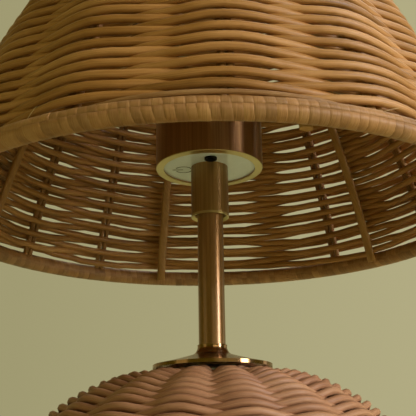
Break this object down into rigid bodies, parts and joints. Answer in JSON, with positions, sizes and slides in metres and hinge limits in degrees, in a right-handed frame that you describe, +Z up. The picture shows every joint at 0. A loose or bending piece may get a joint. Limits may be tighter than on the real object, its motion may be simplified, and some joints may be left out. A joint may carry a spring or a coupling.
{
  "type": "table lamp with shade",
  "caption": "Cordless table lamp with a woven rattan cone shade, a metal drum head on a slim stem, and a woven dome foot.",
  "frame": {"origin": "on the table under the stem's axis, at the centre of the felt pad", "axes": "+Z up along the stem, -Y towards the charging socket's side, +X to the right seen from there"},
  "size_m": [0.2574, 0.2574, 0.2946],
  "materials": {
    "rattan_shade": "natural honey rattan, satin",
    "rattan_base": "pinkish brown rattan, matt",
    "cane_wrap": "split cane binding, satin",
    "bronze": "brushed and lacquered antique bronze",
    "polished_edge": "polished pale brass",
    "steel": "zinc plated",
    "iron": "painted casting",
    "plywood": "raw plywood",
    "felt": "needled felt",
    "white_plastic": "gloss white",
    "black_plastic": "gloss black",
    "board": "green circuit board",
    "led": "yellow phosphor",
    "battery_foil": "pouch foil",
    "tray_plastic": "black moulding",
    "aluminium": "plain",
    "opal": "opal diffuser",
    "nylon": "natural nylon",
    "dark_wire": "bronze powder coat"
  },
  "bodies": {
    "stand": {"felt_pad": "felt", "base_board": "plywood", "base_weight": "iron", "base_hoop": "rattan_base", "base_hoop_wrap": "rattan_base", "base_weave": "rattan_base", "base_stakes": "rattan_base", "dome_top_ring": "steel", "dome_bush": "plywood", "cap_flange": "bronze", "stem_tube": "bronze", "tie_rod": "steel", "base_washer": "steel", "base_nut": "steel", "collar": "bronze", "collar_ring": "polished_edge", "head_housing": "bronze", "cover_disc": "white_plastic", "clamp_plate": "steel", "head_washer": "steel", "head_nut": "steel", "dc_socket": "black_plastic", "touch_spring": "steel", "control_board": "board", "battery_tray": "tray_plastic", "battery_cells": "battery_foil", "heat_spreader": "aluminium", "led_board": "aluminium", "led_chips": "led", "led_screws": "steel", "diffuser": "opal"},
    "slip": {"slip_washer": "nylon"},
    "shade": {"shade_carrier": "dark_wire", "shade_top_wrap": "cane_wrap", "shade_weave": "rattan_shade", "shade_stakes": "rattan_shade", "shade_ribs": "cane_wrap", "shade_hoop": "rattan_shade", "shade_rim_wrap": "cane_wrap"}
  },
  "joints": [
    {"name": "shade_turn", "type": "hinge", "parent": "stand", "child": "slip", "pos_m": [0, 0, 0.2146], "axis": [0, 0, 1], "continuous": true},
    {"name": "shade_lift", "type": "slide", "parent": "slip", "child": "shade", "axis": [0, 0, 1], "range_m": [0, 0.13]}
  ]
}
